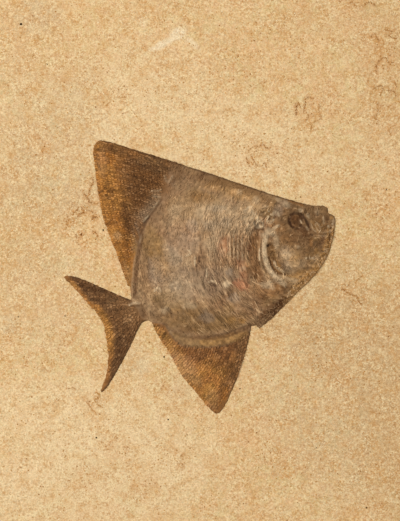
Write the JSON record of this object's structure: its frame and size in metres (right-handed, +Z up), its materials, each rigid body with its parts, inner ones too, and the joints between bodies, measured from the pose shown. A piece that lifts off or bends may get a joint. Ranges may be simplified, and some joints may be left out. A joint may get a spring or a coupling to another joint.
{
  "type": "fossil fish slab",
  "caption": "Flat rectangular slab of buff platy limestone with a deep-bodied, long-finned fossil fish lying on its side in the upper face.",
  "frame": {"origin": "middle of the slab's flat underside", "axes": "+X towards the fish's snout, +Y towards the fish's back along the slab's long side, +Z up out of the fossil-bearing face"},
  "size_m": [0.46, 0.6, 0.0266],
  "materials": {
    "limestone": "split bedding plane, dry and matt, buff with rusty stains",
    "fossil_bone": "mineralised bone and scale, brown, faintly satin"
  },
  "bodies": {
    "root": {"limestone_slab": "limestone", "fossil_fish": "fossil_bone"}
  },
  "joints": []
}
